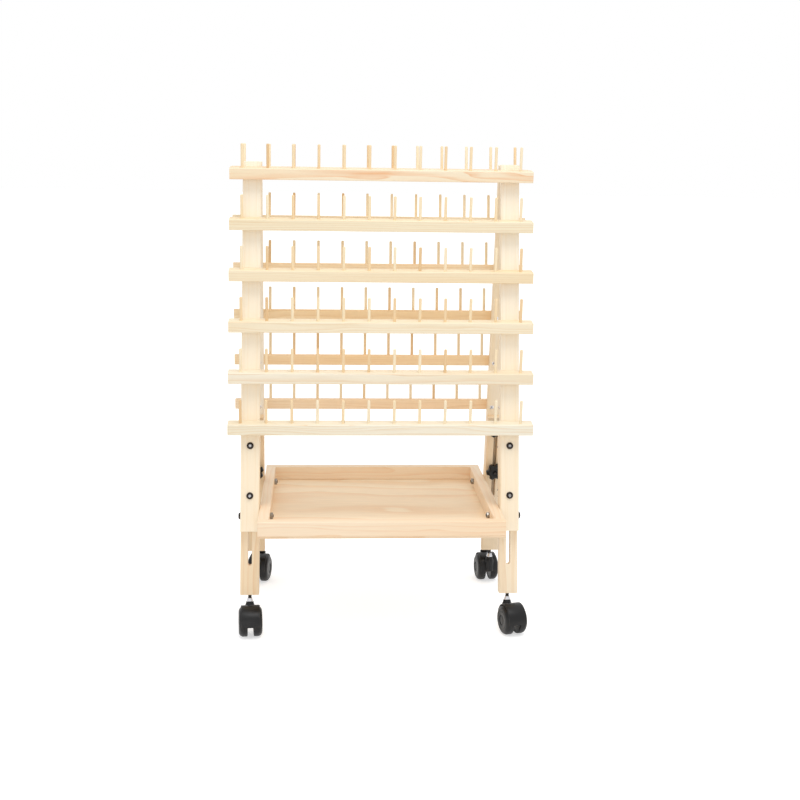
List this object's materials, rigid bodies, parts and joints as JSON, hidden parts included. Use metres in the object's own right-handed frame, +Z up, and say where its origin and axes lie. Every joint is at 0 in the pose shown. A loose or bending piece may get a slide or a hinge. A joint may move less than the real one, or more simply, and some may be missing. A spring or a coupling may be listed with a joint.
{
  "type": "thread rack",
  "caption": "Rolling wooden thread rack: two hinged peg panels, a tray between them, and slotted legs on twin-wheel casters, clamped by star knobs.",
  "frame": {"origin": "on the floor under the hinge line, midway between the posts", "axes": "+Z up, +X to the right seen from the front, the front panel faces -Y"},
  "size_m": [0.52, 0.39, 0.8306],
  "materials": {
    "pine_rail": "clear lacquered pine, satin",
    "pine_post": "clear lacquered pale pine, satin",
    "dowel": "turned hardwood dowel, satin",
    "plywood": "thin birch plywood, satin",
    "bright_steel": "bright plated steel",
    "black_steel": "black oxide, satin",
    "black_plastic": "moulded nylon, fine matte"
  },
  "bodies": {
    "front_panel": {"post_front_left": "pine_post", "post_front_right": "pine_post", "rail_front_1": "pine_rail", "rail_front_2": "pine_rail", "rail_front_3": "pine_rail", "rail_front_4": "pine_rail", "rail_front_5": "pine_rail", "rail_front_6": "pine_rail", "pegs_front": "dowel", "tray_front_board": "pine_post", "tray_back_board": "pine_post", "tray_left_board": "pine_post", "tray_right_board": "pine_post", "tray_floor": "plywood", "tray_nuts": "bright_steel", "bolts_front": "black_steel", "hinge_leaves_front": "bright_steel", "screws_front": "bright_steel"},
    "back_panel": {"post_back_left": "pine_post", "post_back_right": "pine_post", "rail_back_1": "pine_rail", "rail_back_2": "pine_rail", "rail_back_3": "pine_rail", "rail_back_4": "pine_rail", "rail_back_5": "pine_rail", "rail_back_6": "pine_rail", "pegs_back": "dowel", "bolts_back": "black_steel", "hinge_leaves_back": "bright_steel", "screws_back": "bright_steel"},
    "front_left_leg": {"leg_front_left": "pine_post", "caster_stem_front_left": "bright_steel"},
    "front_left_upper_knob": {"knob_front_left_upper": "black_plastic"},
    "front_left_lower_knob": {"knob_front_left_lower": "black_plastic"},
    "front_left_caster": {"caster_hood_front_left": "black_plastic"},
    "front_left_wheel_1": {"wheel_front_left_1": "black_plastic"},
    "front_left_wheel_2": {"wheel_front_left_2": "black_plastic"},
    "front_right_leg": {"leg_front_right": "pine_post", "caster_stem_front_right": "bright_steel"},
    "front_right_upper_knob": {"knob_front_right_upper": "black_plastic"},
    "front_right_lower_knob": {"knob_front_right_lower": "black_plastic"},
    "front_right_caster": {"caster_hood_front_right": "black_plastic"},
    "front_right_wheel_1": {"wheel_front_right_1": "black_plastic"},
    "front_right_wheel_2": {"wheel_front_right_2": "black_plastic"},
    "back_left_leg": {"leg_back_left": "pine_post", "caster_stem_back_left": "bright_steel"},
    "back_left_upper_knob": {"knob_back_left_upper": "black_plastic"},
    "back_left_lower_knob": {"knob_back_left_lower": "black_plastic"},
    "back_left_caster": {"caster_hood_back_left": "black_plastic"},
    "back_left_wheel_1": {"wheel_back_left_1": "black_plastic"},
    "back_left_wheel_2": {"wheel_back_left_2": "black_plastic"},
    "left_brake": {"brake_lever_back_left": "black_plastic"},
    "back_right_leg": {"leg_back_right": "pine_post", "caster_stem_back_right": "bright_steel"},
    "back_right_upper_knob": {"knob_back_right_upper": "black_plastic"},
    "back_right_lower_knob": {"knob_back_right_lower": "black_plastic"},
    "back_right_caster": {"caster_hood_back_right": "black_plastic"},
    "back_right_wheel_1": {"wheel_back_right_1": "black_plastic"},
    "back_right_wheel_2": {"wheel_back_right_2": "black_plastic"},
    "right_brake": {"brake_lever_back_right": "black_plastic"}
  },
  "joints": [
    {"name": "fold", "type": "hinge", "parent": "front_panel", "child": "back_panel", "pos_m": [0, 0, 0.78484], "axis": [-1, 0, 0], "range_deg": [0, 7]},
    {"name": "slide_front_left", "type": "slide", "parent": "front_panel", "child": "front_left_leg", "axis": [0, 0.1736, 0.9848], "range_m": [0, 0.105]},
    {"name": "turn_front_left_upper", "type": "hinge", "parent": "front_panel", "child": "front_left_upper_knob", "pos_m": [-0.2225, -0.06931, 0.31575], "axis": [0, 0.9848, -0.1736], "range_deg": [0, 360]},
    {"name": "turn_front_left_lower", "type": "hinge", "parent": "front_panel", "child": "front_left_lower_knob", "pos_m": [-0.2225, -0.08407, 0.23204], "axis": [0, 0.9848, -0.1736], "range_deg": [0, 360]},
    {"name": "swivel_front_left", "type": "hinge", "parent": "front_left_leg", "child": "front_left_caster", "pos_m": [-0.2225, -0.11883, 0.025], "axis": [0, 0, 1], "continuous": true},
    {"name": "roll_front_left_1", "type": "hinge", "parent": "front_left_caster", "child": "front_left_wheel_1", "pos_m": [-0.22041, -0.14274, 0.025], "axis": [-0.9962, -0.0872, 0], "continuous": true},
    {"name": "roll_front_left_2", "type": "hinge", "parent": "front_left_caster", "child": "front_left_wheel_2", "pos_m": [-0.22041, -0.14274, 0.025], "axis": [-0.9962, -0.0872, 0], "continuous": true},
    {"name": "slide_front_right", "type": "slide", "parent": "front_panel", "child": "front_right_leg", "axis": [0, 0.1736, 0.9848], "range_m": [0, 0.105]},
    {"name": "turn_front_right_upper", "type": "hinge", "parent": "front_panel", "child": "front_right_upper_knob", "pos_m": [0.2225, -0.06931, 0.31575], "axis": [0, 0.9848, -0.1736], "range_deg": [0, 360]},
    {"name": "turn_front_right_lower", "type": "hinge", "parent": "front_panel", "child": "front_right_lower_knob", "pos_m": [0.2225, -0.08407, 0.23204], "axis": [0, 0.9848, -0.1736], "range_deg": [0, 360]},
    {"name": "swivel_front_right", "type": "hinge", "parent": "front_right_leg", "child": "front_right_caster", "pos_m": [0.2225, -0.11883, 0.025], "axis": [0, 0, 1], "continuous": true},
    {"name": "roll_front_right_1", "type": "hinge", "parent": "front_right_caster", "child": "front_right_wheel_1", "pos_m": [0.22871, -0.14201, 0.025], "axis": [-0.9659, -0.2588, 0], "continuous": true},
    {"name": "roll_front_right_2", "type": "hinge", "parent": "front_right_caster", "child": "front_right_wheel_2", "pos_m": [0.22871, -0.14201, 0.025], "axis": [-0.9659, -0.2588, 0], "continuous": true},
    {"name": "slide_back_left", "type": "slide", "parent": "back_panel", "child": "back_left_leg", "axis": [0, -0.1736, 0.9848], "range_m": [0, 0.105]},
    {"name": "turn_back_left_upper", "type": "hinge", "parent": "back_panel", "child": "back_left_upper_knob", "pos_m": [-0.2225, 0.06931, 0.31575], "axis": [0, -0.9848, -0.1736], "range_deg": [0, 360]},
    {"name": "turn_back_left_lower", "type": "hinge", "parent": "back_panel", "child": "back_left_lower_knob", "pos_m": [-0.2225, 0.08407, 0.23204], "axis": [0, -0.9848, -0.1736], "range_deg": [0, 360]},
    {"name": "swivel_back_left", "type": "hinge", "parent": "back_left_leg", "child": "back_left_caster", "pos_m": [-0.2225, 0.11883, 0.025], "axis": [0, 0, 1], "continuous": true},
    {"name": "roll_back_left_1", "type": "hinge", "parent": "back_left_caster", "child": "back_left_wheel_1", "pos_m": [-0.21751, 0.1423, 0.025], "axis": [0.9781, -0.2079, 0], "continuous": true},
    {"name": "roll_back_left_2", "type": "hinge", "parent": "back_left_caster", "child": "back_left_wheel_2", "pos_m": [-0.21751, 0.1423, 0.025], "axis": [0.9781, -0.2079, 0], "continuous": true},
    {"name": "brake_left", "type": "hinge", "parent": "back_left_caster", "child": "left_brake", "pos_m": [-0.2142, 0.15785, 0.05044], "axis": [-0.9781, 0.2079, 0], "range_deg": [0, 25]},
    {"name": "slide_back_right", "type": "slide", "parent": "back_panel", "child": "back_right_leg", "axis": [0, -0.1736, 0.9848], "range_m": [0, 0.105]},
    {"name": "turn_back_right_upper", "type": "hinge", "parent": "back_panel", "child": "back_right_upper_knob", "pos_m": [0.2225, 0.06931, 0.31575], "axis": [0, -0.9848, -0.1736], "range_deg": [0, 360]},
    {"name": "turn_back_right_lower", "type": "hinge", "parent": "back_panel", "child": "back_right_lower_knob", "pos_m": [0.2225, 0.08407, 0.23204], "axis": [0, -0.9848, -0.1736], "range_deg": [0, 360]},
    {"name": "swivel_back_right", "type": "hinge", "parent": "back_right_leg", "child": "back_right_caster", "pos_m": [0.2225, 0.11883, 0.025], "axis": [0, 0, 1], "continuous": true},
    {"name": "roll_back_right_1", "type": "hinge", "parent": "back_right_caster", "child": "back_right_wheel_1", "pos_m": [0.21958, 0.14265, 0.025], "axis": [0.9925, 0.1219, 0], "continuous": true},
    {"name": "roll_back_right_2", "type": "hinge", "parent": "back_right_caster", "child": "back_right_wheel_2", "pos_m": [0.21958, 0.14265, 0.025], "axis": [0.9925, 0.1219, 0], "continuous": true},
    {"name": "brake_right", "type": "hinge", "parent": "back_right_caster", "child": "right_brake", "pos_m": [0.21764, 0.15843, 0.05044], "axis": [-0.9925, -0.1219, 0], "range_deg": [0, 25]}
  ]
}
